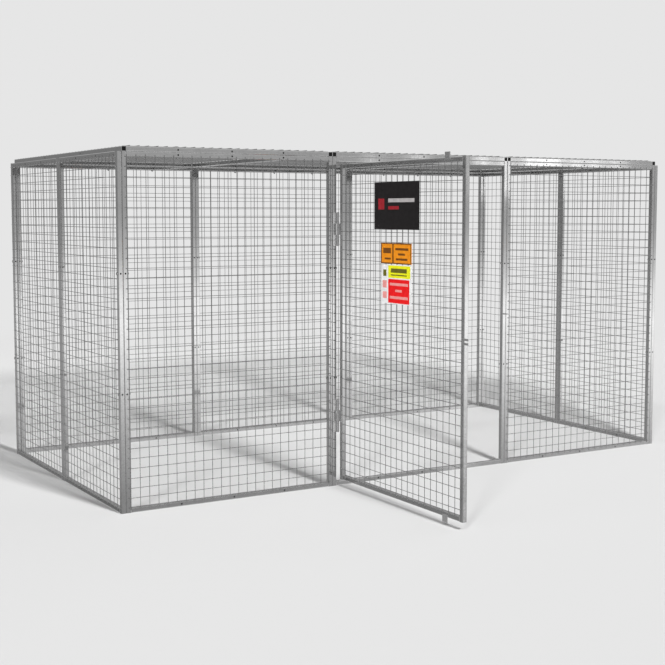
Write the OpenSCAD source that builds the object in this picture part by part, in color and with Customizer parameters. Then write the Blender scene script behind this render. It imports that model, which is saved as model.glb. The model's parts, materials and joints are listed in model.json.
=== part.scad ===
// Gas cylinder cage: bolted box-section panels with welded mesh, three bays wide and two deep.
// The door is drawn open at a right angle. Units are millimetres.
// X runs along the front, Y to the back, Z up. The origin is under the middle of the doorway's sill.

/* [Cage] */
// Width of one front, back or roof bay
bay_w = 1200; // [1000:50:1400]
// Width of one of the two panels in each side
side_w = 900; // [700:50:1100]
// Height of the wall panels
panel_h = 1800; // [1500:50:2100]

/* [Box section] */
// Outside of the square tube
tube = 25; // [20:1:30]
// Wall thickness of the tube
wall = 2; // [1.5:0.5:3]
// Outside corner radius of the tube
corner_r = 3.5; // [3:0.5:5]
// Gap drawn at a welded butt joint
weld_gap = 0.15; // [0.1:0.05:0.3]

/* [Mesh] */
// Pitch of the welded mesh
pitch = 50; // [40:5:75]
// Diameter of its wire
wire_d = 3; // [2:0.5:4]
// How far the wires reach over the face of the tube
overlap = 10; // [5:1:11]
// Gap drawn between touching wires, and between wire and tube
lay = 0.1; // [0.05:0.05:0.2]

/* [Bolts] */
// Hole drilled both ways through the tubes
hole_d = 9; // [8.5:0.5:11]
// Bolt shank
bolt_d = 8; // [6:1:8]
// Across flats of head and nut
bolt_af = 13; // [10:1:13]
// Height of the bolt head
head_h = 5.3; // [4:0.1:6]
// Height of the nut
nut_h = 6.5; // [5:0.5:7]
// Thread left past the nut
bolt_spare = 2.5; // [1:0.5:4]
// Radial play of a nut or plug drawn round or in its partner
slip = 0.05; // [0.02:0.01:0.1]

/* [Plugs] */
// Depth of a tube plug
plug_deep = 14; // [8:1:20]
// Wall of a tube plug
plug_t = 2; // [1.5:0.5:3]

/* [Door] */
// Gap round the closed leaf
door_gap = 15; // [13:1:20]
// How far the closed leaf stands proud of the frame
door_proud = 1; // [0.5:0.5:2]
// Hinge axis beyond the edge of the post
axis_out = 5; // [4:0.5:7]
// Height of a hinge
hinge_h = 180; // [120:10:240]
// Middle of a hinge from the end of the panel
hinge_from_end = 390; // [250:10:500]
// Radius of the hinge barrel
barrel_r = 7; // [5:0.5:8]
// Radius of the hinge pin
pin_r = 3.5; // [3:0.5:4]
// How far the hinge plates stop from the far edge of their post
plate_in = 2; // [1:0.5:4]
// Height of the head of a hinge pin
pin_head = 2; // [1.5:0.5:3]
// How far a hinge pin stands out below
pin_past = 1; // [0.5:0.5:3]
// Thickness of the hinge plates
plate_t = 3; // [2:0.5:4]
// Gap between knuckles
knuckle_gap = 0.5; // [0.3:0.1:1]
// Width of a stop tab
tab_w = 40; // [30:2:50]
// Thickness of a stop tab
tab_t = 4; // [3:0.5:5]
// How far a stop tab reaches past the leaf
tab_past = 26; // [22:1:30]
// Middle of the stop tabs from the free edge
tab_in = 138; // [80:1:250]

/* [Lock] */
// Height of the forked hasp plate
hasp_h = 30; // [24:1:40]
// Thickness of the hasp plate
hasp_t = 5; // [4:0.5:6]
// Height of the slot in the hasp
hasp_slot = 10; // [8:1:14]
// Thickness of the staple plate on the post
staple_t = 5; // [4:0.5:6]
// Width of the staple plate
staple_w = 22; // [18:1:24]
// How far the staple stands out of the post
staple_out = 33; // [30:1:40]
// Space between the staple and the inner end of the slot when the door is closed
hasp_clear = 8; // [3:1:10]
// Padlock hole in the staple
padlock_d = 11; // [8:0.5:12]

/* [Signs] */
// Thickness of the sign plates
sign_t = 3; // [2:0.5:4]
// Width of the upper plate
sign_a_w = 400; // [300:10:450]
// Height of the upper plate
sign_a_h = 240; // [180:10:280]
// Width of the two lower plates
sign_b_w = 270; // [200:10:320]
// Height of the middle plate
sign_b_h = 105; // [80:5:140]
// Height of the lower plate
sign_c_h = 197; // [150:1:240]
// Top of the upper plate below the top of the leaf
sign_top = 105; // [80:1:200]
// Space between the upper and middle plates
sign_space = 68; // [40:1:100]
// Space between the middle and lower plates
sign_joint = 5; // [2:1:20]
// Shank of a sign rivet
rivet_d = 4; // [3:0.5:5]
// Head diameter of a sign rivet
rivet_head = 8; // [6:1:10]
// Diameter of its formed end
rivet_tail = 7; // [5.5:0.5:9]
// Height of a rivet's head, and of its formed end
rivet_h = 1.2; // [1:0.1:2]
// Least distance from a rivet to the edge of its plate
rivet_in = 20; // [8:1:25]
// Room between a rivet's head and the wire beside it
rivet_gap = 2.5; // [2:0.5:4]
// Thickness of the washer behind the mesh
washer_t = 1.5; // [1:0.5:2]
// Diameter of the washer behind the mesh
washer_d = 28; // [24:1:32]

/* [Hidden] */
$fn = 48;
x_left = -1.5 * bay_w;
y_front = -tube / 2;
depth = 2 * side_w;
// Corner radius inside the tube
bore_r = max(corner_r - wall, 0.5);
// How far cutting bodies run past what they cut
cut = 1;
// Mesh lies in two layers on the outer face of a frame, and its wires stop this far from the frame's edge
mesh_t = 2 * wire_d + 2 * lay;
mesh_in = tube - overlap;
// Room left between neighbouring fittings, such as a cut wire and a bolt head
clear = 1;
bolt_across = bolt_af / cos(30);
// A roof wire that meets a bolt stops short of its head
bolt_in = (tube + bolt_across) / 2 + clear;
// Cross-drilled holes: in the posts midway between two wires near each third of the height
post_drop = pitch * round(panel_h / 6 / pitch);
post_z = [panel_h / 2 - post_drop, panel_h / 2 + post_drop];
rail_x = [bay_w / 4, bay_w / 2, 3 * bay_w / 4];
rail_y = [side_w / 3, 2 * side_w / 3];
roof_y = [depth / 3, 2 * depth / 3];
// A bolt clamps two tubes
grip = 2 * tube;
// Leaf, in its own frame: u from the hinge edge, v from the outer face to the inside, z up
leaf_w = bay_w - 2 * tube - 2 * door_gap;
leaf_h = panel_h - 2 * tube - 2 * door_gap;
leaf_z = tube + door_gap;
// Face of the leaf's tube that is left beside the mesh for what is welded on
on_edge = mesh_in - clear;
axis_x = -bay_w / 2 + tube + axis_out;
axis_y = y_front - barrel_r;
hinge_z = [hinge_from_end, panel_h - hinge_from_end];
knuckle = hinge_h / 3;
lock_z = panel_h / 2;

zinc = [0.72, 0.74, 0.75];
bright = [0.82, 0.83, 0.84];
black = [0.05, 0.05, 0.05];
orange = [0.9, 0.5, 0.05];
white = [0.88, 0.88, 0.88];

// Square of side s with rounded corners, centred
module rounded(s, r) {
    square([s - 2 * r, s], center = true);
    square([s, s - 2 * r], center = true);
    for (a = [-1, 1]) {
        for (b = [-1, 1]) {
            translate([a * (s / 2 - r), b * (s / 2 - r)]) circle(r);
        }
    }
}

// Length of box section up Z, cross-drilled at the given heights; its section is centred on Z
module box_section(len, holes) {
    difference() {
        linear_extrude(len) rounded(tube, corner_r);
        translate([0, 0, -cut]) linear_extrude(len + 2 * cut) rounded(tube - 2 * wall, bore_r);
        for (h = holes) {
            for (way = [[90, 0, 0], [0, 90, 0]]) {
                translate([0, 0, h]) rotate(way) cylinder(d = hole_d, h = tube + 2 * cut, center = true);
            }
        }
    }
}

// Welded frame w by h in the XZ plane from the origin, its depth centred on Y
module frame(w, h, post_holes, rail_holes) {
    for (x = [tube / 2, w - tube / 2]) {
        translate([x, 0, 0]) box_section(h, post_holes);
    }
    rail = w - 2 * tube - 2 * weld_gap;
    for (z = [tube / 2, h - tube / 2]) {
        translate([tube + weld_gap, 0, z]) rotate([0, 90, 0]) {
            box_section(rail, [for (x = rail_holes) x - tube - weld_gap]);
        }
    }
}

// Places of wires about the middle of a span, on the middle (odd) or either side of it (even)
function wires(span, odd) =
    let (room = span / 2 - tube + wire_d / 2)
    let (first = odd ? 0 : pitch / 2)
    let (n = floor((room - first) / pitch))
    [for (k = [-n - (odd ? 0 : 1) : n]) span / 2 + (odd ? k * pitch : (k + 0.5) * pitch)];

// Two layers of wire on a frame w by h, standing on the plane y = 0 towards -Y
module mesh(w, h, odd_x, odd_z) {
    for (x = wires(w, odd_x)) {
        translate([x, -lay - wire_d / 2, mesh_in]) cylinder(d = wire_d, h = h - 2 * mesh_in);
    }
    for (z = wires(h, odd_z)) {
        translate([mesh_in, -2 * lay - 1.5 * wire_d, z]) rotate([0, 90, 0]) {
            cylinder(d = wire_d, h = w - 2 * mesh_in);
        }
    }
}

// The same two layers on a roof frame, lying on z = 0: cross wires below, long wires above
module roof_mesh(w, d, bolts) {
    for (y = wires(d, false)) {
        translate([mesh_in, y, lay + wire_d / 2]) rotate([0, 90, 0]) {
            cylinder(d = wire_d, h = w - 2 * mesh_in);
        }
    }
    for (x = wires(w, true)) {
        from_bolt = min([for (b = bolts) abs(x - b)]);
        ends_in = from_bolt < (bolt_across + wire_d) / 2 + clear ? bolt_in : mesh_in;
        translate([x, ends_in, 2 * lay + 1.5 * wire_d]) rotate([-90, 0, 0]) {
            cylinder(d = wire_d, h = d - 2 * ends_in);
        }
    }
}

// Bays 0, 1 and 2 from the left
module front_frame(i) {
    color(zinc) translate([x_left + i * bay_w, 0, 0]) frame(bay_w, panel_h, post_z, rail_x);
}

module front_mesh(i) {
    color(bright) translate([x_left + i * bay_w, y_front, 0]) mesh(bay_w, panel_h, false, false);
}

module back_frame(i) {
    color(zinc) translate([x_left + i * bay_w, depth - tube, 0]) frame(bay_w, panel_h, post_z, rail_x);
}

module back_mesh(i) {
    color(bright) translate([x_left + (i + 1) * bay_w, y_front + depth, 0]) rotate([0, 0, 180]) {
        mesh(bay_w, panel_h, false, false);
    }
}

// Side panels: side -1 left or 1 right, and 0 for the front half or 1 for the back half
module side_frame(side, i) {
    color(zinc) translate([side * (-x_left + tube / 2), y_front + i * side_w, 0]) rotate([0, 0, 90]) {
        frame(side_w, panel_h, post_z, rail_y);
    }
}

module side_mesh(side, i) {
    color(bright) translate([side * (tube - x_left), y_front + (i + (side < 0 ? 1 : 0)) * side_w, 0]) {
        rotate([0, 0, side * 90]) mesh(side_w, panel_h, true, false);
    }
}

module roof_frame(i) {
    color(zinc) translate([x_left + i * bay_w, y_front, panel_h + tube / 2]) rotate([-90, 0, 0]) {
        frame(bay_w, depth, roof_y, rail_x);
    }
}

module roof_sheet(i) {
    color(bright) translate([x_left + i * bay_w, y_front, panel_h + tube]) {
        roof_mesh(bay_w, depth, rail_x);
    }
}

// Plug pushed into a tube end: its face is at z = 0 and its skirt runs down
module plug() {
    s = tube - 2 * wall - 2 * slip;
    difference() {
        translate([0, 0, -plug_deep]) linear_extrude(plug_deep) rounded(s, bore_r);
        translate([0, 0, -plug_deep - cut]) linear_extrude(plug_deep + cut - plug_t) {
            square(s - 2 * plug_t, center = true);
        }
    }
}

// Bolt up Z with its head under z = 0 and a grip of two tubes, and its nut
module bolt() {
    translate([0, 0, -head_h]) cylinder(d = bolt_across, h = head_h, $fn = 6);
    cylinder(d = bolt_d, h = grip + nut_h + bolt_spare);
}

module nut() {
    translate([0, 0, grip]) difference() {
        cylinder(d = bolt_across, h = nut_h, $fn = 6);
        translate([0, 0, -cut]) cylinder(r = bolt_d / 2 + slip, h = nut_h + 2 * cut);
    }
}

// Joints between panels: along X at the corners and the bay joints, front and back.
// Each is the place of a bolt's head and the way it points; at the corners the heads are outside.
panel_joints = [
    [x_left - tube, 1], [x_left + bay_w - tube, 1],
    [tube - x_left - bay_w, -1], [tube - x_left, -1]
];

module at_panel_joints() {
    for (joint = panel_joints) {
        for (y = [0, depth - tube]) {
            for (z = post_z) {
                translate([joint[0], y, z]) rotate([0, joint[1] * 90, 0]) children();
            }
        }
    }
}

// Along Y between the two panels of each side
module at_side_joints() {
    for (x = [x_left - tube / 2, tube / 2 - x_left]) {
        for (z = post_z) {
            translate([x, y_front + side_w - tube, z]) rotate([-90, 0, 0]) children();
        }
    }
}

// Down through the roof and the panels under it
module at_roof_joints() {
    for (i = [0, 1, 2]) {
        for (x = rail_x) {
            for (y = [0, depth - tube]) {
                translate([x_left + i * bay_w + x, y, panel_h + tube]) rotate([180, 0, 0]) children();
            }
        }
    }
}

// Along X between neighbouring roof frames
module at_roof_side_joints() {
    for (x = [x_left + bay_w - tube, x_left + 2 * bay_w - tube]) {
        for (y = roof_y) {
            translate([x, y_front + y, panel_h + tube / 2]) rotate([0, 90, 0]) children();
        }
    }
}

module roof_plugs() {
    color(black) for (i = [0, 1, 2]) {
        for (x = [tube / 2, bay_w - tube / 2]) {
            for (end = [[y_front, 90], [y_front + depth, -90]]) {
                translate([x_left + i * bay_w + x, end[0], panel_h + tube / 2]) rotate([end[1], 0, 0]) plug();
            }
        }
    }
}

module side_plugs() {
    color(black) for (x = [x_left - tube / 2, tube / 2 - x_left]) {
        for (y = [0, side_w - tube, side_w, depth - tube]) {
            translate([x, y, panel_h]) plug();
        }
    }
}

// Puts what is drawn on the leaf (u, v, z) where the open leaf is
module on_leaf() {
    translate([axis_x, axis_y, 0]) rotate([0, 0, -90]) {
        translate([door_gap - axis_out, barrel_r - door_proud, 0]) children();
    }
}

module door_leaf_frame() {
    color(zinc) on_leaf() translate([0, tube / 2, leaf_z]) frame(leaf_w, leaf_h, [], []);
}

module door_leaf_mesh() {
    color(bright) on_leaf() translate([0, 0, leaf_z]) mesh(leaf_w, leaf_h, true, true);
}

module door_plugs() {
    color(black) on_leaf() for (u = [tube / 2, leaf_w - tube / 2]) {
        translate([u, tube / 2, leaf_z + leaf_h]) plug();
        translate([u, tube / 2, leaf_z]) rotate([180, 0, 0]) plug();
    }
}

// Knuckle h high round the origin with a plate that runs out to x = reach, its back at y = back
module knuckle_plate(h, reach, back) {
    difference() {
        union() {
            translate([min(reach, 0), back - plate_t, 0]) cube([abs(reach), plate_t, h]);
            cylinder(r = barrel_r - slip, h = h);
        }
        translate([0, 0, -cut]) cylinder(r = pin_r + slip, h = h + 2 * cut);
    }
}

// Fixed upper and lower knuckles, each with a plate of its own on the face of the post
module hinge_post_leaves() {
    color(zinc) for (zc = hinge_z) {
        for (z = [zc - hinge_h / 2, zc + hinge_h / 2 - knuckle]) {
            translate([axis_x, axis_y, z]) {
                knuckle_plate(knuckle, plate_in - axis_out - tube, barrel_r - slip);
            }
        }
    }
}

// Headed pins, dropped in from above and a little longer than the hinge
module hinge_pins() {
    color(bright) for (zc = hinge_z) {
        translate([axis_x, axis_y, zc - hinge_h / 2 - pin_past]) cylinder(r = pin_r, h = hinge_h + pin_past);
        translate([axis_x, axis_y, zc + hinge_h / 2]) cylinder(r = (pin_r + barrel_r) / 2, h = pin_head);
    }
}

// Swinging middle knuckle, with its plate on the leaf. A thin plate reaches under the outer wires.
module hinge_door_leaves() {
    on_stile = plate_t + slip < 2 * lay + wire_d ? tube - plate_in : mesh_in - plate_in;
    reach = door_gap - axis_out + on_stile;
    color(zinc) for (zc = hinge_z) {
        translate([axis_x, axis_y, zc - knuckle / 2 + knuckle_gap]) rotate([0, 0, -90]) {
            knuckle_plate(knuckle - 2 * knuckle_gap, reach, barrel_r - door_proud - slip);
        }
    }
}

// Tabs welded beside the mesh, which meet the header and the sill when the door closes
module door_stops() {
    tab_h = on_edge + tab_past;
    color(zinc) on_leaf() for (z = [leaf_z + leaf_h - on_edge, leaf_z - tab_past]) {
        translate([leaf_w - tab_in - tab_w / 2, -tab_t - slip, z]) cube([tab_w, tab_t, tab_h]);
    }
}

// Forked plate on the free stile, which closes round the staple and ends flush with it
module lock_hasp() {
    past = door_gap + (tube + staple_w) / 2;
    slot_from = door_gap + (tube - staple_w) / 2 - hasp_clear;
    color(zinc) on_leaf() translate([leaf_w - on_edge, -hasp_t - slip, lock_z - hasp_h / 2]) difference() {
        cube([on_edge + past, hasp_t, hasp_h]);
        translate([on_edge + slot_from, -cut, (hasp_h - hasp_slot) / 2]) {
            cube([past, hasp_t + 2 * cut, hasp_slot]);
        }
    }
}

// Plate with a padlock hole standing out of the post on the lock side
module lock_staple() {
    color(zinc) translate([bay_w / 2 - tube / 2, y_front - slip, lock_z - staple_t / 2]) {
        difference() {
            union() {
                translate([-staple_w / 2, staple_w / 2 - staple_out, 0]) {
                    cube([staple_w, staple_out - staple_w / 2, staple_t]);
                }
                translate([0, staple_w / 2 - staple_out, 0]) cylinder(d = staple_w, h = staple_t);
            }
            translate([0, staple_w / 2 - staple_out, -cut]) cylinder(d = padlock_d, h = staple_t + 2 * cut);
        }
    }
}

// Bottom edges of the three sign plates
sign_a_z = leaf_z + leaf_h - sign_top - sign_a_h;
sign_b_z = sign_a_z - sign_space - sign_b_h;
sign_c_z = sign_b_z - sign_joint - sign_c_h;
// Distance from the middle of a wire to a rivet beside it, so that the washer behind bears on the wire
beside = (wire_d + rivet_head) / 2 + rivet_gap;

// Place of a rivet near a plate's edge, both counted from the middle of the leaf, where a wire runs:
// beside an upright wire across the plate, and only clear of the level wires along it
function rivet_across(edge) =
    let (p = edge - rivet_in)
    let (wire = pitch * floor((p + beside) / pitch))
    wire + beside <= p ? wire + beside : wire - beside;
function rivet_along(edge) =
    let (p = edge - rivet_in)
    let (wire = pitch * round(p / pitch))
    abs(p - wire) < beside ? wire - beside : p;

// At the four rivets of a plate w by h with its bottom edge at z, with +Z out of its face
module at_rivets(w, h, z) {
    for (side = [-1, 1]) {
        for (up = [-rivet_along(lock_z - z), rivet_along(z + h - lock_z)]) {
            translate([leaf_w / 2 + side * rivet_across(w / 2), 0, lock_z + up]) {
                rotate([90, 0, 0]) children();
            }
        }
    }
}

module at_all_rivets() {
    at_rivets(sign_a_w, sign_a_h, sign_a_z) children();
    at_rivets(sign_b_w, sign_b_h, sign_b_z) children();
    at_rivets(sign_b_w, sign_c_h, sign_c_z) children();
}

// Sign plate in front of the door's mesh
module sign(w, h, z) {
    on_leaf() difference() {
        translate([(leaf_w - w) / 2, -mesh_t - lay - sign_t, z]) cube([w, sign_t, h]);
        at_rivets(w, h, z) cylinder(r = rivet_d / 2 + slip, h = 2 * (mesh_t + lay + sign_t));
    }
}

module sign_upper() {
    color(black) sign(sign_a_w, sign_a_h, sign_a_z);
}

module sign_middle() {
    color(orange) sign(sign_b_w, sign_b_h, sign_b_z);
}

module sign_lower() {
    color(white) sign(sign_b_w, sign_c_h, sign_c_z);
}

// Rivet through a plate, the mesh and a washer, with a formed end behind the washer
module sign_rivets() {
    front = mesh_t + lay + sign_t;
    behind = washer_t + 2 * slip + rivet_h;
    color(bright) on_leaf() at_all_rivets() {
        translate([0, 0, -behind]) cylinder(d = rivet_d, h = behind + front);
        translate([0, 0, front]) cylinder(d = rivet_head, h = rivet_h);
        translate([0, 0, -behind]) cylinder(d = rivet_tail, h = rivet_h);
    }
}

module sign_washers() {
    color(zinc) on_leaf() at_all_rivets() translate([0, 0, -washer_t - slip]) difference() {
        cylinder(d = washer_d, h = washer_t);
        translate([0, 0, -cut]) cylinder(r = rivet_d / 2 + slip, h = washer_t + 2 * cut);
    }
}

front_frame(0);  // front_left_frame
front_mesh(0);  // front_left_mesh
front_frame(1);  // door_frame
front_frame(2);  // front_right_frame
front_mesh(2);  // front_right_mesh
back_frame(0);  // back_left_frame
back_mesh(0);  // back_left_mesh
back_frame(1);  // back_middle_frame
back_mesh(1);  // back_middle_mesh
back_frame(2);  // back_right_frame
back_mesh(2);  // back_right_mesh
side_frame(-1, 0);  // left_front_frame
side_mesh(-1, 0);  // left_front_mesh
side_frame(-1, 1);  // left_back_frame
side_mesh(-1, 1);  // left_back_mesh
side_frame(1, 0);  // right_front_frame
side_mesh(1, 0);  // right_front_mesh
side_frame(1, 1);  // right_back_frame
side_mesh(1, 1);  // right_back_mesh
roof_frame(0);  // roof_left_frame
roof_sheet(0);  // roof_left_mesh
roof_frame(1);  // roof_middle_frame
roof_sheet(1);  // roof_middle_mesh
roof_frame(2);  // roof_right_frame
roof_sheet(2);  // roof_right_mesh
roof_plugs();
side_plugs();
color(bright) at_panel_joints() bolt();  // panel_bolts
color(bright) at_panel_joints() nut();  // panel_nuts
color(bright) at_side_joints() bolt();  // side_bolts
color(bright) at_side_joints() nut();  // side_nuts
color(bright) at_roof_joints() bolt();  // roof_bolts
color(bright) at_roof_joints() nut();  // roof_nuts
color(bright) at_roof_side_joints() bolt();  // roof_side_bolts
color(bright) at_roof_side_joints() nut();  // roof_side_nuts
hinge_post_leaves();
hinge_pins();
lock_staple();
door_leaf_frame();
door_leaf_mesh();
door_plugs();
hinge_door_leaves();
door_stops();
lock_hasp();
sign_upper();
sign_middle();
sign_lower();
sign_rivets();
sign_washers();
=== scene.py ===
"""Looks of the gas cylinder cage: finishes, welds, bolts, nuts, plugs, rivets, signs, camera and light."""

import json
import math
import random

import bmesh
import bpy
from mathutils import Matrix, Vector


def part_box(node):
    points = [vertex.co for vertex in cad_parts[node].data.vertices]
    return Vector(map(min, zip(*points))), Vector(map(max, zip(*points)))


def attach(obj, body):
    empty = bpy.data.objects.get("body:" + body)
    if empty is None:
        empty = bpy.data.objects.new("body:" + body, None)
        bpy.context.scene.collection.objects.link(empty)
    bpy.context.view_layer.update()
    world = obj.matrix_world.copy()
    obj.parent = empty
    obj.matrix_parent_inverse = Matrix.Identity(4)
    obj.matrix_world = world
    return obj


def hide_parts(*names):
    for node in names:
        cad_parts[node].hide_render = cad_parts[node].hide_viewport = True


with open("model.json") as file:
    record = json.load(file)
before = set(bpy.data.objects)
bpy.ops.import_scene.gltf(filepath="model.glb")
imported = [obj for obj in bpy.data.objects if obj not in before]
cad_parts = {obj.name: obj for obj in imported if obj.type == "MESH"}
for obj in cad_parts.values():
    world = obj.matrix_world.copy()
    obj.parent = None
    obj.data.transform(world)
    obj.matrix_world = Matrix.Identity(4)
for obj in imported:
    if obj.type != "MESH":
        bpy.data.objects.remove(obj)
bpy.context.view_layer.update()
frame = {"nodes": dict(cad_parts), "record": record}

NODES = frame["nodes"]
SCENE = bpy.context.scene
MM = 0.001
AXIS_X, AXIS_Y, AXIS_Z = range(3)

# Colours are linear; greys are one number
BACKDROP = 0.791


def grey(level):
    return (level, level, level, 1)


# Node helpers

def link(tree, output, socket):
    tree.links.new(output, socket)


def node(tree, kind, values=None, **properties):
    """A shader node; values gives inputs, by name or place, a value or an output to link to."""
    made = tree.nodes.new(kind)
    for name, value in properties.items():
        setattr(made, name, value)
    for name, value in (values or {}).items():
        if isinstance(value, bpy.types.NodeSocket):
            link(tree, value, made.inputs[name])
        else:
            made.inputs[name].default_value = value
    return made


def math_node(tree, operation, a, b):
    return node(tree, "ShaderNodeMath", {0: a, 1: b}, operation=operation).outputs[0]


def ramp(tree, fac, stops):
    """A colour ramp's output; stops are (position, grey or colour)."""
    made = node(tree, "ShaderNodeValToRGB", {"Fac": fac})
    elements = made.color_ramp.elements
    while len(elements) < len(stops):
        elements.new(0.5)
    for element, (position, value) in zip(elements, stops):
        element.position = position
        element.color = grey(value) if isinstance(value, (int, float)) else (*value, 1)
    return made.outputs["Color"]


def map_range(tree, value, low, high, to_low, to_high):
    """A value's place between low and high, moved to between to_low and to_high, and held there."""
    made = node(tree, "ShaderNodeMapRange", {
        "Value": value, "From Min": low, "From Max": high, "To Min": to_low, "To Max": to_high})
    return made.outputs["Result"]


def mixed(tree, kind, factor, a, b):
    """A colour mix's output; factor, a and b are outputs or values."""
    made = node(tree, "ShaderNodeMix", {"Factor": factor, "A": a, "B": b}, data_type="RGBA", blend_type=kind)
    return made.outputs["Result"]


def distance_to(tree, coords, place):
    """The distance from the shaded point to a fixed place."""
    return node(tree, "ShaderNodeVectorMath", {0: coords, 1: place}, operation="DISTANCE").outputs["Value"]


def noise(tree, coords, scale, detail=4.0):
    """Soft noise round 0.5; scale is how many clouds there are to a metre."""
    made = node(tree, "ShaderNodeTexNoise", {"Vector": coords, "Scale": scale, "Detail": detail})
    return made.outputs["Fac"]


def bump(tree, shader, height, strength, distance):
    """Gives a shader an uneven skin; distance is the height's scale in metres."""
    made = node(tree, "ShaderNodeBump", {"Strength": strength, "Distance": distance, "Height": height})
    link(tree, made.outputs["Normal"], shader.inputs["Normal"])


def material(name, roughness, metallic=0.0, specular=0.5):
    """A new material, its tree, its shader and object coordinates."""
    made = bpy.data.materials.new(name)
    made.use_nodes = True
    tree = made.node_tree
    shader = tree.nodes["Principled BSDF"]
    shader.inputs["Roughness"].default_value = roughness
    shader.inputs["Metallic"].default_value = metallic
    shader.inputs["Specular IOR Level"].default_value = specular
    return made, tree, shader, node(tree, "ShaderNodeTexCoord").outputs["Object"]


# Finishes

# Share of the spangle's grain in the zinc's pattern, with cloudy patches for the rest
GRAIN_SHARE = 0.3
# Levels of that pattern that take the dark and the light colour, and how rough it is there for the finish
PATTERN_DARK = 0.25
PATTERN_LIGHT = 0.75
DARK_ROUGHNESS = 1.3
LIGHT_ROUGHNESS = 0.7
# Patches, waves, clouds and grains to a metre
ZINC_PATCHES = 9.0
ZINC_WAVES = 14.0
PLASTIC_CLOUDS = 40.0
PLASTIC_GRAIN = 900.0
# Levels of plastic's clouds between which it gets lighter, and how much: a factor and a least step
CLOUDS_FROM = 0.3
CLOUDS_TO = 0.75
CLOUD_FACTOR = 1.25
CLOUD_STEP = 0.004


def galvanised(name, dark, light, roughness, spangle=130.0):
    """Zinc-coated steel: a faint spangle, cloudy patches and a slightly uneven skin."""
    made, tree, shader, coords = material(name, roughness, metallic=1.0)
    flakes = node(tree, "ShaderNodeTexVoronoi", {"Vector": coords, "Scale": spangle})
    grain = node(tree, "ShaderNodeSeparateColor", {"Color": flakes.outputs["Color"]}).outputs[0]
    patches = noise(tree, coords, ZINC_PATCHES)
    pattern = math_node(tree, "ADD", math_node(tree, "MULTIPLY", grain, GRAIN_SHARE),
                        math_node(tree, "MULTIPLY", patches, 1 - GRAIN_SHARE))
    colour = ramp(tree, pattern, [(PATTERN_DARK, dark), (PATTERN_LIGHT, light)])
    link(tree, colour, shader.inputs["Base Color"])
    rough = map_range(tree, pattern, PATTERN_DARK, PATTERN_LIGHT,
                      roughness * DARK_ROUGHNESS, roughness * LIGHT_ROUGHNESS)
    link(tree, rough, shader.inputs["Roughness"])
    bump(tree, shader, noise(tree, coords, ZINC_WAVES, 2.0), strength=0.1, distance=0.6 * MM)
    return made


def plastic(name, colour, roughness, specular=0.2):
    """Moulded plastic, paint or a printed sheet, with faint clouds and a fine grain."""
    made, tree, shader, coords = material(name, roughness, specular=specular)
    lighter = [min(1, level * CLOUD_FACTOR + CLOUD_STEP) for level in colour]
    clouds = ramp(tree, noise(tree, coords, PLASTIC_CLOUDS), [(CLOUDS_FROM, colour), (CLOUDS_TO, lighter)])
    link(tree, clouds, shader.inputs["Base Color"])
    bump(tree, shader, noise(tree, coords, PLASTIC_GRAIN, 2.0), strength=0.3, distance=0.2 * MM)
    return made


TUBE = galvanised("galvanised_tube", 0.54, 0.64, 0.065)
WIRE = galvanised("mesh_wire", 0.27, 0.34, 0.30, spangle=260.0)
PLATE = galvanised("zinc_plate", 0.64, 0.74, 0.22)
BOLT = galvanised("zinc_fastener", 0.40, 0.50, 0.22, spangle=400.0)
WELD = galvanised("zinc_sprayed_weld", 0.44, 0.56, 0.34, spangle=300.0)
BLACK = plastic("black_plastic", (0.003, 0.003, 0.003), 0.4, specular=0.15)
SIGN_BLACK = plastic("sign_black", (0.0085, 0.007, 0.0075), 0.3)
SIGN_ORANGE = plastic("sign_orange", (0.82, 0.27, 0.006), 0.35)
SIGN_WHITE = plastic("sign_white", (0.84, 0.84, 0.84), 0.35)
SIGN_YELLOW = plastic("sign_yellow", (0.86, 0.86, 0.01), 0.35)
SIGN_RED = plastic("sign_red", (0.86, 0.006, 0.008), 0.35)
PRINT_CRIMSON = plastic("print_crimson", (0.3, 0.013, 0.021), 0.35)
PRINT_BROWN = plastic("print_brown", (0.16, 0.055, 0.004), 0.35)
PRINT_OLIVE = plastic("print_olive", (0.13, 0.12, 0.01), 0.35)
PRINT_PINK = plastic("print_pink", (0.85, 0.32, 0.30), 0.35)
PRINT_GREY = plastic("print_grey", (0.42, 0.40, 0.40), 0.35)

FINISH = {
    "galvanised_tube": TUBE, "mesh_wire": WIRE, "fittings": PLATE, "fasteners": BOLT, "black_plastic": BLACK,
    "sign_black": SIGN_BLACK, "sign_orange": SIGN_ORANGE, "sign_white": SIGN_WHITE,
}
for part in frame["record"]["subparts"]:
    mesh = NODES[part["node"]].data
    mesh.materials.clear()
    mesh.materials.append(FINISH[part["material_slot"]])


# Mesh helpers

# Points round a head or nut, a shank or rivet, a weld bead and a tack weld, and steps in a rounded corner
HEAD_SIDES = 36
ROUND_SIDES = 24
BEAD_SIDES = 10
TACK_SIDES = 8
CORNER_STEPS = 4
# Edges that turn more than this, in degrees, stay sharp
SHARP_FROM = 35


def unit(axis, length=1):
    """A vector along one axis."""
    made = Vector((0, 0, 0))
    made[axis] = length
    return made


def solids(name):
    """The corners of each separate solid of a CAD node, in metres."""
    bm = bmesh.new()
    bm.from_mesh(NODES[name].data)
    bmesh.ops.remove_doubles(bm, verts=bm.verts, dist=MM / 1000)
    bm.verts.ensure_lookup_table()
    seen = set()
    found = []
    for start in bm.verts:
        if start.index in seen:
            continue
        seen.add(start.index)
        stack = [start]
        corners = []
        while stack:
            corner = stack.pop()
            corners.append(corner.co.copy())
            for edge in corner.link_edges:
                other = edge.other_vert(corner)
                if other.index not in seen:
                    seen.add(other.index)
                    stack.append(other)
        found.append(corners)
    bm.free()
    return found


def box_of(corners):
    """The lowest and highest corners of a solid's box."""
    low = Vector([min(corner[i] for corner in corners) for i in range(3)])
    high = Vector([max(corner[i] for corner in corners) for i in range(3)])
    return low, high


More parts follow.
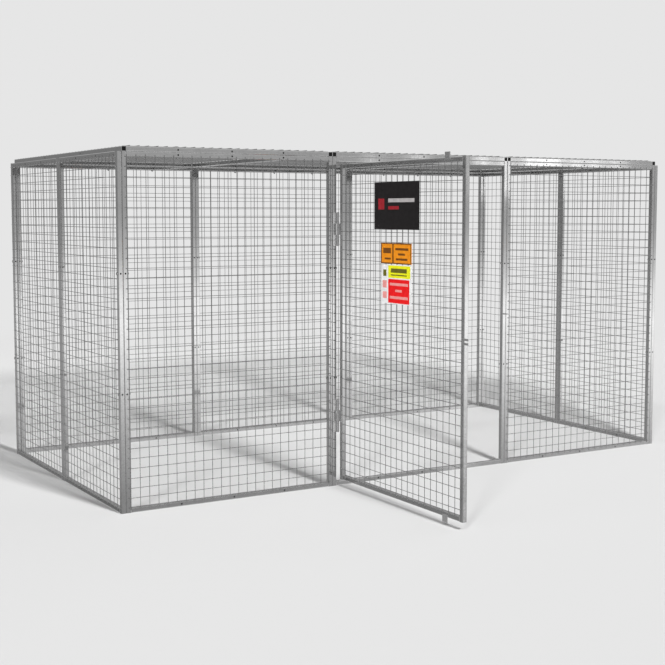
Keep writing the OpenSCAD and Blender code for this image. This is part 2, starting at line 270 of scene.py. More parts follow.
def way_of(low, high, pick):
    """The axis along which a box is longest, where pick is max, or shortest, where it is min."""
    return pick(range(3), key=lambda i: high[i] - low[i])


def ends_of(corners, pick):
    """A solid's longest (max) or shortest (min) way, and the middles of its two end faces."""
    low, high = box_of(corners)
    way = way_of(low, high, pick)
    ends = [(low + high) / 2, (low + high) / 2]
    ends[0][way] = low[way]
    ends[1][way] = high[way]
    return way, ends


def rim(corners, way, end, near=MM / 10):
    """The corners of a solid at one of its ends."""
    return [corner for corner in corners if abs(corner[way] - end[way]) < near]


def place_of(origin, axis, towards):
    """The matrix whose Z is axis and whose X leans towards a point."""
    z = axis.normalized()
    x = (towards - origin) - z * (towards - origin).dot(z)
    x.normalize()
    y = z.cross(x)
    turn = Matrix((x, y, z)).transposed().to_4x4()
    return Matrix.Translation(origin) @ turn


def circle(radius, z, count=ROUND_SIDES):
    turns = [2 * math.pi * i / count for i in range(count)]
    return [Vector((radius * math.cos(t), radius * math.sin(t), z)) for t in turns]


def arcs(centres, radius):
    """Points round the rounded corners of an outline; a centre comes with its quarter of the circle."""
    points = []
    for across, up, quarter in centres:
        for step in range(CORNER_STEPS + 1):
            turn = math.pi / 2 * quarter + math.pi / 2 / CORNER_STEPS * step
            points.append((across + radius * math.cos(turn), up + radius * math.sin(turn)))
    return points


def skin(bm, place, rings, caps=True):
    """Faces between rings of points, moved to place; the last ring joins the first if caps is False."""
    rows = [[bm.verts.new(place @ point) for point in ring] for ring in rings]
    pairs = list(zip(rows, rows[1:]))
    if not caps:
        pairs.append((rows[-1], rows[0]))
    for low, high in pairs:
        for i in range(len(low)):
            j = (i + 1) % len(low)
            bm.faces.new((low[i], low[j], high[j], high[i]))
    if caps:
        bm.faces.new(rows[0][::-1])
        bm.faces.new(rows[-1])


def piece(name, bm, finish, body, slot, *nodes):
    """Turns a bmesh into a piece that rides on a body and replaces nodes."""
    bmesh.ops.recalc_face_normals(bm, faces=bm.faces)
    mesh = bpy.data.meshes.new(name)
    bm.to_mesh(mesh)
    bm.free()
    mesh.materials.append(finish)
    made = bpy.data.objects.new(name, mesh)
    SCENE.collection.objects.link(made)
    mesh.shade_smooth()
    mesh.set_sharp_from_angle(angle=math.radians(SHARP_FROM))
    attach(made, body)
    if nodes:
        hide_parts(*nodes)


def detailed(name, source, build, body="cage", finish=BOLT, slot="fasteners"):
    """Builds one detailed copy for each solid of a CAD node, and replaces the node."""
    bm = bmesh.new()
    for corners in solids(source):
        build(bm, corners)
    piece(name, bm, finish, body, slot, source)


# Welds

TUBE_SIDE = 25 * MM
# Length and depth of a bead's ripples, its random unevenness, and its width for its height
RIPPLE = 2.2 * MM
RIPPLE_DEPTH = 0.14
UNEVENNESS = 0.08
BEAD_WIDTH = 1.15
# A bead's size at its very ends, and how fast it grows to its full size
BEAD_END = 0.35
BEAD_GROWTH = 3
# Radii of a fillet in a frame's corner, of a ground bead on its faces, and of a fillet round a fitting
CORNER_FILLET = 3.2 * MM
GROUND_BEAD = 1.9 * MM
FITTING_FILLET = 2.0 * MM
STAPLE_FILLET = 1.3 * MM
# How far a ground bead's middle lies under the face, how far the bead stays from either side of the tube,
# and how far a corner's fillet stays from the faces
BEAD_SUNK = 1.1 * MM
BEAD_INSET = 2 * MM
CORNER_INSET = 4 * MM
# Half the length and half the width of a tack weld, how far it stands out past the middle of the wire,
# and the slopes of its rings from foot to top
TACK_LONG = 3.4 * MM
TACK_WIDE = 3.2 * MM
TACK_OVER = 0.6 * MM
TACK_LEANS = (0.0, 0.5, 0.95, 1.3)


def bead(bm, start, end, normal, radius, seed=0):
    """A weld bead: a low rippled ridge that stands out along normal and tapers at both ends."""
    way = end - start
    length = way.length
    wobble = random.Random(seed)
    shift = wobble.random() * RIPPLE
    steps = max(6, int(length / (RIPPLE / 4)))
    rings = []
    for step in range(steps + 1):
        z = length * step / steps
        wave = abs(math.sin(math.pi * (z + shift) / RIPPLE))
        fade = min(1, BEAD_GROWTH * min(z, length - z) / radius + BEAD_END)
        rippled = 1 - RIPPLE_DEPTH + RIPPLE_DEPTH * wave
        uneven = 1 - UNEVENNESS / 2 + UNEVENNESS * wobble.random()
        rings.append([Vector((p.x, BEAD_WIDTH * p.y, p.z))
                      for p in circle(radius * fade * rippled * uneven, z, BEAD_SIDES)])
    skin(bm, place_of(start, way, start + normal), rings)


def tack(bm, middle, way, normal, tall):
    """A tack weld: a small mound along way, standing out along normal."""
    rings = []
    for lean in TACK_LEANS:
        across = math.cos(lean)
        rings.append([Vector((p.x * TACK_LONG * across, p.y * TACK_WIDE * across, tall * math.sin(lean)))
                      for p in circle(1, 0, TACK_SIDES)])
    skin(bm, place_of(middle, normal, middle + way), rings)


def frame_welds(bm, name):
    """The welds of a frame: a fillet in each inner corner, and a low ground bead on both of its faces."""
    low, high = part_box(name)
    thin = way_of(low, high, min)
    # Posts run along Z in a wall and along Y in the roof
    post = AXIS_Y if name.startswith("roof") else AXIS_Z
    rail = 3 - thin - post
    thick = unit(thin)
    inset = thick * CORNER_INSET
    for a, rail_end in enumerate((low[rail] + TUBE_SIDE, high[rail] - TUBE_SIDE)):
        for b, post_end in enumerate((low[post] + TUBE_SIDE, high[post] - TUBE_SIDE)):
            seed = a * 2 + b
            inward = unit(rail, 1 - 2 * a) + unit(post, 1 - 2 * b)
            corner = unit(rail, rail_end) + unit(post, post_end) + unit(thin, low[thin])
            bead(bm, corner + inset, corner + thick * TUBE_SIDE - inset, inward, CORNER_FILLET, seed)
            along = unit(post, -inward[post])
            for face, out in ((low[thin], -1), (high[thin], 1)):
                at = corner.copy()
                at[thin] = face - out * BEAD_SUNK
                first = at + along * BEAD_INSET
                last = at + along * (TUBE_SIDE - 2 * BEAD_INSET)
                bead(bm, first, last, thick * out, GROUND_BEAD, seed + out)


def tack_welds(bm, name):
    """A tack weld at both ends of every wire, in the middle of the stretch that lies on the tube."""
    frame_low, frame_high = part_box(name.replace("_mesh", "_frame"))
    low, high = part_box(name)
    thin = way_of(low, high, min)
    outward = 1 if low[thin] + high[thin] > frame_low[thin] + frame_high[thin] else -1
    face = frame_high[thin] if outward > 0 else frame_low[thin]
    for corners in solids(name):
        wire_low, wire_high = box_of(corners)
        way = way_of(wire_low, wire_high, max)
        off = abs((wire_low[thin] + wire_high[thin]) / 2 - face)
        for end in ((wire_low[way] + frame_low[way] + TUBE_SIDE) / 2,
                    (wire_high[way] + frame_high[way] - TUBE_SIDE) / 2):
            middle = (wire_low + wire_high) / 2
            middle[way] = end
            middle[thin] = face
            tack(bm, middle, unit(way), unit(thin, outward), off + TACK_OVER)


def fillet(bm, face_axis, face, edge_axis, edge, side, start, end, radius):
    """A fillet on a face that looks towards minus face_axis, along a fitting's edge and on one side of it."""
    along = 3 - face_axis - edge_axis
    on_face = unit(face_axis, face) + unit(edge_axis, edge)
    normal = unit(face_axis, -1) + unit(edge_axis, side)
    bead(bm, on_face + unit(along, start), on_face + unit(along, end), normal, radius)


wall_welds = bmesh.new()
roof_welds = bmesh.new()
door_welds = bmesh.new()


def welds_of(name):
    """The mesh that gathers the welds of a frame or a sheet of mesh."""
    if name.startswith("door_leaf"):
        return door_welds
    return roof_welds if name.startswith("roof") else wall_welds


for name in NODES:
    if name.endswith("_frame"):
        frame_welds(welds_of(name), name)
for name in NODES:
    if name.endswith("_mesh"):
        tack_welds(welds_of(name), name)

# Fillets round the plates that are welded to the doorway's posts and to the door's frame: how far they stay
# from the ends of an edge, and how long they are across a tube
POST_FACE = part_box("front_left_frame")[0].y
DOOR_LOW, DOOR_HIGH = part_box("door_leaf_frame")
INSET = 2 * MM
ON_TUBE = TUBE_SIDE - 5 * MM


def on_post(edge_axis, edge, side, start, end, radius=FITTING_FILLET):
    """A fillet on the front face of a doorway post."""
    fillet(wall_welds, AXIS_Y, POST_FACE, edge_axis, edge, side, start, end, radius)


def on_door(edge_axis, edge, side, start, end):
    """A fillet on the outer face of the open door's frame."""
    fillet(door_welds, AXIS_X, DOOR_LOW.x, edge_axis, edge, side, start, end, FITTING_FILLET)


hinge_heights = []
for corners in solids("hinge_door_leaves"):
    low, high = box_of(corners)
    hinge_heights.append((low.z + high.z) / 2)
    on_door(AXIS_Y, low.y, -1, low.z + INSET, high.z - INSET)
    on_door(AXIS_Z, low.z, -1, low.y, low.y + ON_TUBE)
    on_door(AXIS_Z, high.z, 1, low.y, low.y + ON_TUBE)
for corners in solids("hinge_post_leaves"):
    low, high = box_of(corners)
    on_post(AXIS_X, low.x, -1, low.z + INSET, high.z - INSET)
    # The edge that looks away from the hinge's middle
    if low.z < min(hinge_heights, key=lambda z: abs(z - low.z)):
        on_post(AXIS_Z, low.z, -1, low.x, low.x + ON_TUBE)
    else:
        on_post(AXIS_Z, high.z, 1, low.x, low.x + ON_TUBE)
low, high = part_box("lock_staple")
on_post(AXIS_Z, low.z, -1, low.x + INSET, high.x - INSET, radius=STAPLE_FILLET)
on_post(AXIS_Z, high.z, 1, low.x + INSET, high.x - INSET, radius=STAPLE_FILLET)
low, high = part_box("lock_hasp")
on_door(AXIS_Y, high.y, 1, low.z + INSET, high.z - INSET)
on_door(AXIS_Z, low.z, -1, DOOR_LOW.y + INSET, high.y)
on_door(AXIS_Z, high.z, 1, DOOR_LOW.y + INSET, high.y)
for corners in solids("door_stops"):
    low, high = box_of(corners)
    start = max(low.z, DOOR_LOW.z) + INSET
    end = min(high.z, DOOR_HIGH.z) - INSET
    on_door(AXIS_Y, low.y, -1, start, end)
    on_door(AXIS_Y, high.y, 1, start, end)

piece("wall_welds", wall_welds, WELD, "cage", "galvanised_tube")
piece("roof_welds", roof_welds, WELD, "cage", "galvanised_tube")
piece("door_welds", door_welds, WELD, "door", "galvanised_tube")


# Bolts and nuts

HEAD_HEIGHT = 5.3 * MM
# Radii as shares of the width across flats: a round bearing face, and a head's rim and the dish in its top
ROUND_FACE = 0.47
HEAD_RIM = 0.43
HEAD_DISH = 0.40
DISH_DEPTH = 0.25 * MM
WASHER_FACE = 0.3 * MM
# Slope of the corners' chamfer, and the share of the width across flats where it starts
CHAMFER = 0.577
CHAMFER_FROM = 0.97
THREAD_PITCH = 1.25 * MM
THREAD_DEPTH = 0.5 * MM
THREAD_LENGTH = 5 * MM
# Rings to a turn of the thread
THREAD_STEPS = 6
TIP_LENGTH = 0.8 * MM
TIP_CHAMFER = 1.2 * MM
# How far a nut's chamfer starts below its face, and the width and depth of the countersink of its hole
NUT_SEAT = 0.15 * MM
NUT_MOUTH = 0.5 * MM
NUT_MOUTH_DEPTH = 0.6 * MM


def hexagon(flats, z, chamfer=0.0):
    """A ring of points on a hexagon; chamfer lowers its corners."""
    ring = []
    for i in range(HEAD_SIDES):
        turn = 2 * math.pi * i / HEAD_SIDES
        from_flat = (turn % (math.pi / 3)) - math.pi / 6
        radius = flats / 2 / math.cos(from_flat)
        drop = chamfer * (radius - CHAMFER_FROM * flats / 2)
        ring.append(Vector((radius * math.cos(turn), radius * math.sin(turn), z - drop)))
    return ring


def thread(shank, start):
    """Rings of a right-hand thread that runs down from start and deepens over its first turn."""
    rings = []
    steps = int(THREAD_LENGTH / THREAD_PITCH * THREAD_STEPS)
    for step in range(1, steps + 1):
        z = start - (THREAD_LENGTH - TIP_LENGTH) * step / steps
        ring = []
        for point in circle(1, z):
            phase = (-z / THREAD_PITCH + math.atan2(point.y, point.x) / (2 * math.pi)) % 1
            radius = shank - THREAD_DEPTH * (1 - abs(2 * phase - 1)) * min(1, step / THREAD_STEPS)
            ring.append(Vector((point.x * radius, point.y * radius, z)))
        rings.append(ring)
    return rings


def bolt(bm, corners):
    """A hexagon bolt in the place of a plain one: chamfered head, washer face and a cut thread at its tip."""
    way, ends = ends_of(corners, max)

    def reach(end):
        return max(rim(corners, way, end, MM), key=lambda c: (c - end).length)

    corner = max((reach(end) for end in ends), key=lambda c: min((c - end).length for end in ends))
    head, tip = sorted(ends, key=lambda end: abs(corner[way] - end[way]))
    axis = (tip - head).normalized()
    flats = 2 * (corner - head).length * math.cos(math.pi / 6)
    shank = min((reach(tip) - tip).length, flats / 2)
    under = head + axis * HEAD_HEIGHT
    place = place_of(under, -axis, corner)
    skin(bm, place, [
        circle(ROUND_FACE * flats, 0, HEAD_SIDES), circle(ROUND_FACE * flats, WASHER_FACE, HEAD_SIDES),
        hexagon(flats, WASHER_FACE), hexagon(flats, HEAD_HEIGHT, CHAMFER),
        circle(HEAD_RIM * flats, HEAD_HEIGHT, HEAD_SIDES),
        circle(HEAD_DISH * flats, HEAD_HEIGHT - DISH_DEPTH, HEAD_SIDES)])
    length = (tip - under).length
    start = -(length - THREAD_LENGTH)
    # The shank starts a little inside the head
    skin(bm, place, [circle(shank, MM / 10), circle(shank, start), *thread(shank, start),
                     circle(shank - TIP_CHAMFER, -length)])


def nut(bm, corners):
    """A hexagon nut, chamfered at both ends, in the place of a plain one."""
    way, (start, end) = ends_of(corners, min)
    near = rim(corners, way, end)
    corner = max(near, key=lambda c: (c - end).length)
    hole = min((c - end).length for c in near)
    flats = 2 * (corner - end).length * math.cos(math.pi / 6)
    height = (end - start).length
    mouth = hole + NUT_MOUTH
    skin(bm, place_of(start, end - start, corner - (end - start)), [
        circle(mouth, 0, HEAD_SIDES), circle(ROUND_FACE * flats, 0, HEAD_SIDES),
        hexagon(flats, -NUT_SEAT, -CHAMFER), hexagon(flats, height, CHAMFER),
        circle(ROUND_FACE * flats, height, HEAD_SIDES), circle(mouth, height, HEAD_SIDES),
        circle(hole, height - NUT_MOUTH_DEPTH, HEAD_SIDES), circle(hole, NUT_MOUTH_DEPTH, HEAD_SIDES)],
         caps=False)


# Plugs

# A plug's outer face looks away from the middle of the cage
SIDE_LOW, SIDE_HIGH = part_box("left_front_frame")
CAGE_MIDDLE = Vector((0, SIDE_HIGH.y, (SIDE_LOW.z + SIDE_HIGH.z) / 2))
PLUG_CORNER = 1.5 * MM
# The skirt's taper, and the share of a small square's side that its rounded corners may take
SKIRT_TAPER = 0.97
SKIRT_TAPER_HEIGHT = 1 * MM
CORNER_SHARE = 0.2
# The face from its edge to its middle: share of the plug's width, and height in millimetres
PLUG_FACE = [(1, -0.8), (0.985, -0.25), (0.94, 0), (0.80, 0.1), (0.76, -0.3), (0.30, -0.1)]


def rounded_square(side, z):
    """A square with rounded corners round the origin."""
    radius = min(PLUG_CORNER, side * CORNER_SHARE)
    inner = side / 2 - radius
    centres = [(inner, inner, 0), (-inner, inner, 1), (-inner, -inner, 2), (inner, -inner, 3)]
    return [Vector((x, y, z)) for x, y in arcs(centres, radius)]


def plug(bm, corners):
    """A moulded tube plug: a rounded square face, slightly crowned, over a plain skirt."""
    low, high = box_of(corners)
    side = max(high - low)
    way, ends = ends_of(corners, min)
    back, face = sorted(ends, key=lambda end: abs(end[way] - CAGE_MIDDLE[way]))
    deep = (face - back).length
    rings = [rounded_square(side * SKIRT_TAPER, -deep), rounded_square(side, -deep + SKIRT_TAPER_HEIGHT)]
    rings += [rounded_square(side * share, z * MM) for share, z in PLUG_FACE]
    skin(bm, place_of(face, face - back, face + unit((way + 1) % 3)), rings)


# Rivets

RIVET_HEIGHT = 1.2 * MM
# The formed end from its tip: share of its radius, and height in millimetres
FORMED_END = [(0.5, 0), (0.9, 0.2), (1, 0.6), (0.95, 1.2)]
# The head's underside as a share of its width, and the dome's height as a share of the head's
HEAD_UNDERSIDE = 0.96
DOME_HEIGHT = 0.85 * RIVET_HEIGHT
DOME_STEPS = 5
# The open end of a blind rivet's core: its radius, and the radius and depth of its floor
CORE_RADIUS = 0.95 * MM
CORE_FLOOR = 0.8 * MM
CORE_DEPTH = 0.5 * MM


def rivet(bm, corners):
    """A dome-headed blind rivet through plate, mesh and washer."""
    way, ends = ends_of(corners, max)

    def reach(end):
        return max((c - end).length for c in rim(corners, way, end))

    head = max(ends, key=reach)
    tail = min(ends, key=reach)
    wide = reach(head)
    formed = reach(tail)
    length = (head - tail).length
    under = length - RIVET_HEIGHT
    rings = [circle(formed * share, z * MM) for share, z in FORMED_END]
    rings += [circle(wide / 2, RIVET_HEIGHT), circle(wide / 2, under), circle(wide * HEAD_UNDERSIDE, under)]
    for step in range(DOME_STEPS):
        lean = math.pi / 2 * step / DOME_STEPS
        rings.append(circle(wide * math.cos(lean), length - DOME_HEIGHT * (1 - math.sin(lean))))
    rings += [circle(CORE_RADIUS, length), circle(CORE_FLOOR, length - CORE_DEPTH)]
    skin(bm, place_of(tail, head - tail, tail + unit(AXIS_Z)), rings)


for group in ("panel", "side", "roof", "roof_side"):
    detailed(group + "_bolts_cut", group + "_bolts", bolt)
    detailed(group + "_nuts_cut", group + "_nuts", nut)
for group, body in (("roof", "cage"), ("side", "cage"), ("door", "door")):
    detailed(group + "_plugs_moulded", group + "_plugs", plug, body, BLACK, "black_plastic")

# Rivets are painted in the colour of the plate or the field that they go through: finish and slot
RIVETS = {
    "sign_upper_rivets": (SIGN_BLACK, "sign_black"),
    "sign_middle_rivets": (SIGN_ORANGE, "sign_orange"),
    "sign_lower_rivets": (SIGN_WHITE, "sign_white"),
    "sign_lower_yellow_rivets": (SIGN_YELLOW, "sign_yellow"),
    "sign_lower_red_rivets": (SIGN_RED, "sign_red"),
}


def rivets_at(place):
    """The name of the rivets that one at this place belongs to."""
    for plate in ("sign_upper", "sign_middle", "sign_lower"):
        low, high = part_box(plate)
        if low.z < place.z < high.z:
            break
    middle = (low + high) / 2
    if plate != "sign_lower" or place.y >= middle.y:
        return plate + "_rivets"
    return "sign_lower_yellow_rivets" if place.z > middle.z else "sign_lower_red_rivets"


rivets = {name: bmesh.new() for name in RIVETS}
for corners in solids("sign_rivets"):
    low, high = box_of(corners)
    rivet(rivets[rivets_at((low + high) / 2)], corners)
for name, (finish, slot) in RIVETS.items():
    piece(name, rivets[name], finish, "door", slot, "sign_rivets")


# Printed fields of the three signs: thin vinyl sheets on the plates' outer faces, which look towards -X.
# A field's left, right, bottom and top are shares of its plate, across from the hinge side and up.
VINYL = 0.15 * MM
VINYL_SUNK = 0.05 * MM
FIELD_CORNER = 1.0 * MM
BORDER_CORNER = 0.05 * MM
# A corner's radius takes up at most this share of a side
MOST_ROUND = 0.45
BORDER_W = 0.022
BORDER_H = 0.055
DIVIDER = 0.40


def border(left, right, bottom, top):
    """The four strips of a border, which meet at its corners."""
    inner_bottom = bottom + BORDER_H
    inner_top = top - BORDER_H
    return [(left, right, inner_top, top), (left, right, bottom, inner_bottom),
            (left, left + BORDER_W, inner_bottom, inner_top),
            (right - BORDER_W, right, inner_bottom, inner_top)]


def field(bm, plate, layer, corner, left, right, bottom, top):
    """One sheet with rounded corners; a sheet of layer 2 lies on one of layer 1."""
    low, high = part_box(plate)
    wide = high.y - low.y
    tall = high.z - low.z
    y0 = high.y - wide * left
    y1 = high.y - wide * right
    z0 = low.z + tall * bottom
    z1 = low.z + tall * top
    radius = min(corner, (y0 - y1) * MOST_ROUND, (z1 - z0) * MOST_ROUND)
    near = y0 - radius
    far = y1 + radius
    outline = arcs([(far, z0 + radius, 2), (near, z0 + radius, 3), (near, z1 - radius, 0),
                    (far, z1 - radius, 1)], radius)
    back = low.x + VINYL_SUNK
    front = low.x - VINYL * layer
    skin(bm, Matrix.Identity(4), [[Vector((x, y, z)) for y, z in outline] for x in (back, front)])


# Name, plate, finish, slot, layer, corner radius, fields
PRINTS = [
    ("sign_upper_white_bars", "sign_upper", PRINT_GREY, "sign_white", 1, FIELD_CORNER, [
        (0.32, 0.90, 0.57, 0.65)]),
    ("sign_upper_red_bars", "sign_upper", PRINT_CRIMSON, "sign_red", 1, FIELD_CORNER, [
        (0.09, 0.23, 0.42, 0.65), (0.32, 0.56, 0.42, 0.49)]),
    ("sign_middle_border", "sign_middle", PRINT_BROWN, "sign_black", 1, BORDER_CORNER, [
        *border(0, DIVIDER, 0, 1), *border(DIVIDER, 1, 0, 1)]),
    ("sign_middle_bars", "sign_middle", PRINT_BROWN, "sign_black", 1, FIELD_CORNER, [
        (0.07, 0.33, 0.50, 0.76), (0.12, 0.33, 0.20, 0.29),
        (0.48, 0.91, 0.66, 0.77), (0.57, 0.80, 0.42, 0.52), (0.50, 0.88, 0.18, 0.28)]),
    ("sign_lower_yellow", "sign_lower", SIGN_YELLOW, "sign_yellow", 1, FIELD_CORNER, [
        (0.245, 0.975, 0.665, 0.985)]),
    ("sign_lower_red", "sign_lower", SIGN_RED, "sign_red", 1, FIELD_CORNER, [
        (0.245, 0.945, 0.02, 0.635)]),
    ("sign_lower_dark_bars", "sign_lower", PRINT_OLIVE, "sign_black", 2, FIELD_CORNER, [
        (0.33, 0.86, 0.80, 0.91), (0.33, 0.86, 0.725, 0.755), (0.07, 0.18, 0.70, 0.87)]),
    ("sign_lower_pink_bars", "sign_lower", PRINT_PINK, "sign_red", 2, FIELD_CORNER, [
        (0.30, 0.90, 0.47, 0.54), (0.48, 0.70, 0.31, 0.37), (0.30, 0.90, 0.13, 0.20),
        (0.055, 0.195, 0.40, 0.59), (0.055, 0.195, 0.13, 0.30)]),
]
for name, plate, finish, slot, layer, corner, fields in PRINTS:
    bm = bmesh.new()
    for row in fields:
        field(bm, plate, layer, corner, *row)
    piece(name, bm, finish, "door", slot)


# Camera: solved from the tube edges in the photograph
IMAGE = 665
FOCAL_PX = 1221.69
PRINCIPAL_PX = (333.44, 311.68)
SENSOR = 36.0
CAMERA_AT = (-3.99414, -5.70037, 1.50109)
CAMERA_TURN = 0.53876
CAMERA_TILT = 0.0811

lens = bpy.data.cameras.new("camera")
lens.sensor_fit = "HORIZONTAL"
lens.sensor_width = SENSOR
lens.lens = SENSOR * FOCAL_PX / IMAGE
lens.shift_x = (IMAGE / 2 - PRINCIPAL_PX[0]) / IMAGE
lens.shift_y = (PRINCIPAL_PX[1] - IMAGE / 2) / IMAGE
lens.clip_start = 0.1
lens.clip_end = 200
camera = bpy.data.objects.new("camera", lens)
camera.location = CAMERA_AT
camera.rotation_euler = (math.pi / 2 - CAMERA_TILT, 0, -CAMERA_TURN)
SCENE.collection.objects.link(camera)
SCENE.camera = camera


# Lamps: a key lamp high in front of the cage, and three soft suns
KEY_AT = Vector((-0.6, -6.4, 5.9))
KEY_POWER = 44.0
KEY_RADIUS = 0.6
# Name, direction from the cage to the sun, strength, and the sun's width in degrees
SUNS = [
    ("sun_left", (-0.74, -0.68, 1.1), 0.8, 6),
    ("low_left", (-1, -0.1, 0.12), 1.4, 30),
    ("low_right", (1, -0.15, 0.42), 0.8, 50),
]


def lamp(name, kind, power):
    """A lamp that metal doesn't mirror."""
    data = bpy.data.lights.new(name, kind)
    data.energy = power
    made = bpy.data.objects.new(name, data)
    made.visible_glossy = False
    SCENE.collection.objects.link(made)
    return made


# Near enough for its shadows to spread, and with no fall-off, so that the floor stays even
key = lamp("key", "POINT", KEY_POWER)
key.location = KEY_AT
key.data.shadow_soft_size = KEY_RADIUS
key.data.use_nodes = True
tree = key.data.node_tree
falloff = node(tree, "ShaderNodeLightFalloff", {"Strength": 1.0})
link(tree, falloff.outputs["Constant"], tree.nodes["Emission"].inputs["Strength"])
for name, towards, strength, width in SUNS:
    sun = lamp(name, "SUN", strength)
    sun.data.angle = math.radians(width)
    sun.rotation_euler = Vector(towards).to_track_quat("Z", "Y").to_euler()


# World: the camera sees the plain backdrop, matt things get a dim light, and metal mirrors a studio that is
# made here from ramps. Well above and well below the horizon it is as pale as the backdrop, and in between
# it has bands, windows and a board.
# Places round the horizon: 0 is -X, 0.25 is -Y (the front), 0.5 is +X and 0.75 is +Y.
# Heights: 0 is straight down, 0.5 is the horizon and 1 is straight up.
SKY_LIGHT = 0.06
FRONT_BANDS = [
    (0.0, BACKDROP), (0.33, BACKDROP), (0.362, 0.42), (0.378, 0.36), (0.39, 0.4), (0.402, 0.54), (0.415, 0.7),
    (0.43, 0.93), (0.445, 1.3), (0.456, 1.5), (0.466, 1.35), (0.475, 0.95), (0.486, 0.68), (0.498, 0.5),
    (0.51, 0.5), (0.525, 0.52), (0.55, 0.48), (0.62, 0.55), (0.67, BACKDROP), (1.0, BACKDROP)]
SIDE_BANDS = [
    (0.0, BACKDROP), (0.33, BACKDROP), (0.362, 0.5), (0.376, 0.36), (0.388, 0.36), (0.40, 0.46), (0.44, 0.5),
    (0.47, 0.5), (0.49, 0.38), (0.51, 0.34), (0.54, 0.36), (0.62, 0.5), (0.635, 0.51), (0.67, BACKDROP),
    (1.0, BACKDROP)]
# How bright the side bands are round the horizon, and where the front bands take their place
SIDE_GAIN = [
    (0.0, 1.0), (0.1, 1.1), (0.2, 1.0), (0.26, 0.8), (0.42, 0.7), (0.48, 1.0), (0.56, 1.0), (0.61, 0.75),
    (0.70, 0.75), (0.72, 1.0), (0.76, 1.0), (0.79, 0.72), (0.83, 0.85), (0.85, 0.75), (0.875, 0.7),
    (0.9, 0.8), (0.95, 1.05), (1.0, 1.0)]
IN_FRONT = [(0.24, 0.0), (0.29, 1.0), (0.40, 1.0), (0.45, 0.0)]
# A row of small windows just above the horizon, in front on the right: from, to, level
PANES = [
    (0.3402, 0.3414, 0.4), (0.3458, 0.3475, 0.5), (0.3543, 0.3556, 0.8), (0.3572, 0.3584, 0.8),
    (0.3604, 0.3646, 1.0), (0.3662, 0.3673, 0.9), (0.3685, 0.3697, 0.9), (0.3712, 0.3723, 0.9)]
PANE_EDGE = 0.0002
PANE_HEIGHTS = [(0.506, 0.0), (0.508, 1.0), (0.526, 1.0), (0.529, 0.0)]
WINDOW_LIGHT = 2.2
# A pale board that stands low in front, which the free edge of the open door mirrors: from, to
BOARD = (0.3514, 0.3531)
BOARD_EDGE = 0.0006
BOARD_HEIGHTS = [(0.35, 0.0), (0.362, 0.48), (0.395, 0.46), (0.413, 0.38), (0.43, 0.2), (0.455, 0.0)]
# The shaded strip of floor along the cage's left side, which the lowest rail there mirrors: from, to,
# the slopes Z / X where it starts and ends, and the share of the light that it keeps
SHADE = (0.77, 0.84)
SHADE_EDGE = 0.005
SHADE_STARTS = (0.672, 0.69)
SHADE_ENDS = (0.76, 0.8)
SHADE_LIGHT = 0.45

world = bpy.data.worlds.new("studio")
SCENE.world = world
world.use_nodes = True
tree = world.node_tree
direction = node(tree, "ShaderNodeSeparateXYZ", {0: node(tree, "ShaderNodeTexCoord").outputs["Generated"]})
X, Y, Z = direction.outputs
turn = map_range(tree, math_node(tree, "ARCTAN2", Y, X), -math.pi, math.pi, 0, 1)
height = map_range(tree, Z, -1, 1, 0, 1)


def upright(left, right, edge, level=1.0):
    """An upright strip of the studio between two places round the horizon, with soft edges."""
    rising = map_range(tree, turn, left - edge, left, 0, 1)
    falling = map_range(tree, turn, right, right + edge, 1, 0)
    return math_node(tree, "MULTIPLY", level, math_node(tree, "MULTIPLY", rising, falling))


panes = 0.0
for left, right, level in PANES:
    panes = math_node(tree, "ADD", panes, upright(left, right, PANE_EDGE, level))
windows = math_node(tree, "MULTIPLY", ramp(tree, height, PANE_HEIGHTS), panes)
board = math_node(tree, "MULTIPLY", upright(*BOARD, BOARD_EDGE), ramp(tree, height, BOARD_HEIGHTS))
slope = math_node(tree, "DIVIDE", Z, X)
strip = math_node(tree, "MULTIPLY", map_range(tree, slope, *SHADE_STARTS, 0, 1),
                  map_range(tree, slope, *SHADE_ENDS, 1, 0))
shade = math_node(tree, "MULTIPLY", upright(*SHADE, SHADE_EDGE), strip)
sides = mixed(tree, "MULTIPLY", 1.0, ramp(tree, height, SIDE_BANDS),
              map_range(tree, shade, 0, 1, 1.0, SHADE_LIGHT))
sides = mixed(tree, "MULTIPLY", 1.0, sides, ramp(tree, turn, SIDE_GAIN))
front = mixed(tree, "ADD", 1.0, ramp(tree, height, FRONT_BANDS), board)
studio = mixed(tree, "MIX", ramp(tree, turn, IN_FRONT), sides, front)
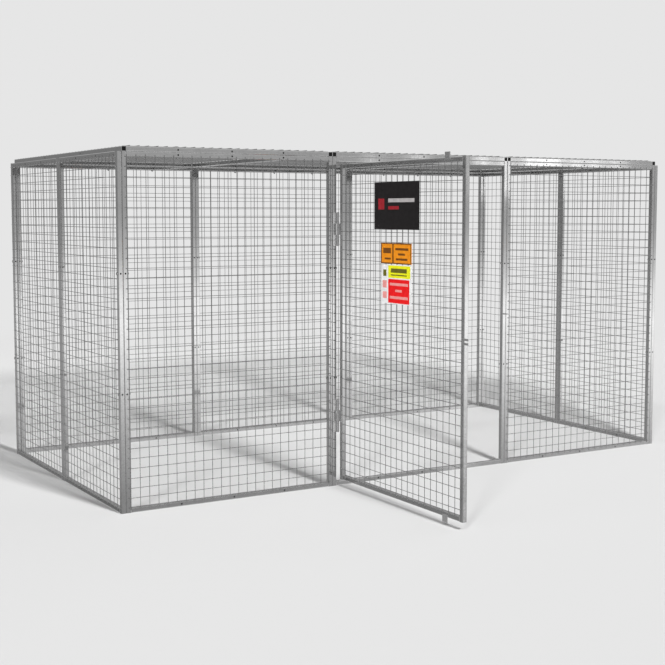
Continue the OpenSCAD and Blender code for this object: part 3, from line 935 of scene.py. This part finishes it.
studio = mixed(tree, "MIX", windows, studio, grey(WINDOW_LIGHT))
path = node(tree, "ShaderNodeLightPath").outputs
lit = mixed(tree, "MIX", path["Is Glossy Ray"], grey(SKY_LIGHT), studio)
shown = mixed(tree, "MIX", path["Is Camera Ray"], lit, grey(BACKDROP))
link(tree, shown, tree.nodes["Background"].inputs["Color"])


# Floor: matt, a little paler where the key lamp strikes it less squarely, and faded into the backdrop
# far off. Metal looks through it to the studio.
FLOOR_SIZE = 60
FLOOR_ROUGHNESS = 0.9
# Light on the floor from all but the key lamp, and the palest that the floor may be
OTHER_LIGHT = 0.395
PALEST = 0.92
# Distances from the cage's middle between which the floor fades
FADE_FROM = 5.0
FADE_TO = 10.0

bpy.ops.mesh.primitive_plane_add(size=FLOOR_SIZE, location=(0, 0, 0))
floor = bpy.context.object
floor.name = "floor"
made, tree, shader, coords = material("floor", FLOOR_ROUGHNESS, specular=0.0)
key_light = KEY_POWER / (4 * math.pi ** 2) * KEY_AT.z
from_key = math_node(tree, "DIVIDE", key_light, distance_to(tree, coords, KEY_AT))
light = math_node(tree, "ADD", from_key, OTHER_LIGHT)
paleness = math_node(tree, "MINIMUM", math_node(tree, "DIVIDE", BACKDROP, light), PALEST)
link(tree, paleness, shader.inputs["Base Color"])
path = node(tree, "ShaderNodeLightPath").outputs
far_off = map_range(tree, distance_to(tree, coords, (0, 0, 0)), FADE_FROM, FADE_TO, 0, 1)
fade = math_node(tree, "MULTIPLY", far_off, path["Is Camera Ray"])
glow = node(tree, "ShaderNodeEmission", {"Color": grey(BACKDROP), "Strength": 1.0}).outputs[0]
plain = node(tree, "ShaderNodeMixShader", {"Fac": fade, 1: shader.outputs[0], 2: glow}).outputs[0]
clear = node(tree, "ShaderNodeBsdfTransparent").outputs[0]
seen = node(tree, "ShaderNodeMixShader", {"Fac": path["Is Glossy Ray"], 1: plain, 2: clear}).outputs[0]
link(tree, seen, tree.nodes["Material Output"].inputs["Surface"])
floor.data.materials.append(made)

SCENE.view_settings.view_transform = "Standard"
